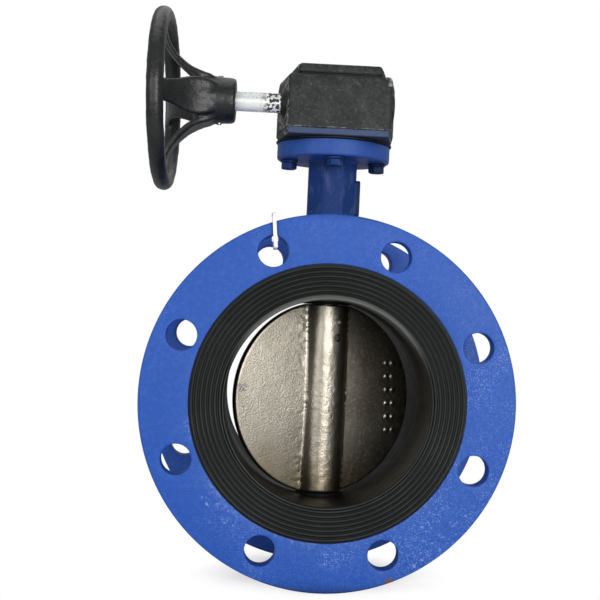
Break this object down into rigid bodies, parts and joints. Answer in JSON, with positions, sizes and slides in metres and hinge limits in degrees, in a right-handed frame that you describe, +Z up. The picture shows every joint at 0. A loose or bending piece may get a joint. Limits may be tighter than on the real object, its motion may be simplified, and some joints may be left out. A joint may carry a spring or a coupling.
{
  "type": "butterfly valve",
  "caption": "Double-flanged rubber-seated butterfly valve with a worm-gear operator and side handwheel that turns the disc a quarter turn.",
  "frame": {"origin": "on the stem axis, at the outer face of the plug in the bottom boss; the bore axis is 128 mm above it and the flange faces are 70 mm to each side", "axes": "+Z up the stem to the operator, +Y along the bore from the front flange to the rear flange, +X to the right seen from the front; the handwheel is on the -X side"},
  "size_m": [0.285, 0.17, 0.4382],
  "materials": {
    "body_paint": "satin epoxy with fine specks and scuffs",
    "seat_rubber": "moulded EPDM, satin",
    "seal_rubber": "black nitrile, satin",
    "disc_nickel": "as-cast nickel plate, fine grain",
    "stem_steel": "ground",
    "bearing_bronze": "turned bronze",
    "shaft_zinc": "bright zinc plate with specks",
    "fastener_zinc": "zinc plate",
    "operator_cast": "dusty black paint over sand casting",
    "wheel_paint": "thick gloss black over rough casting",
    "pointer_paint": "semi-gloss yellow",
    "tie_nylon": "natural nylon"
  },
  "bodies": {
    "body_assembly": {"valve_body": "body_paint", "mounting_bolt_1": "body_paint", "mounting_bolt_2": "body_paint", "mounting_bolt_3": "body_paint", "mounting_bolt_4": "body_paint", "mounting_washer_1": "body_paint", "mounting_washer_2": "body_paint", "mounting_washer_3": "body_paint", "mounting_washer_4": "body_paint", "seat_liner": "seat_rubber", "stem_oring_lower": "seal_rubber", "stem_oring_upper": "seal_rubber", "gearbox_seal_ring": "seal_rubber", "cover_gasket": "seal_rubber", "input_seal": "seal_rubber", "thrust_plug": "stem_steel", "stem_bush_middle": "bearing_bronze", "stem_bush_upper": "bearing_bronze", "stem_bush_lower": "bearing_bronze", "worm_bush_inner": "bearing_bronze", "worm_bush_outer": "bearing_bronze", "stop_screw_open": "fastener_zinc", "stop_screw_closed": "fastener_zinc", "stop_nut_open": "fastener_zinc", "stop_nut_closed": "fastener_zinc", "cover_screw_1": "fastener_zinc", "cover_screw_2": "fastener_zinc", "cover_screw_3": "fastener_zinc", "cover_screw_4": "fastener_zinc", "gearbox_housing": "operator_cast", "gearbox_cover": "operator_cast", "worm_end_cap": "operator_cast", "tag_tie": "tie_nylon"},
    "stem_train": {"disc": "disc_nickel", "upper_stem": "stem_steel", "lower_stem": "stem_steel", "disc_pin_upper": "stem_steel", "disc_pin_lower": "stem_steel", "worm_quadrant": "bearing_bronze", "stem_key": "stem_steel", "position_pointer": "pointer_paint", "pointer_screw": "fastener_zinc"},
    "handwheel_train": {"worm_shaft": "shaft_zinc", "handwheel": "wheel_paint", "handwheel_pin": "fastener_zinc"}
  },
  "joints": [
    {"name": "stem_turn", "type": "hinge", "parent": "body_assembly", "child": "stem_train", "pos_m": [0, 0, 0.128], "axis": [0, 0, 1], "range_deg": [-22, 68]},
    {"name": "handwheel_spin", "type": "hinge", "parent": "body_assembly", "child": "handwheel_train", "pos_m": [-0.00086, -0.03299, 0.356], "axis": [0.9997, -0.0262, 0], "range_deg": [-1632, 528]}
  ],
  "couplings": [
    {"joint": "handwheel_spin", "follows": "stem_turn", "ratio": -24}
  ]
}
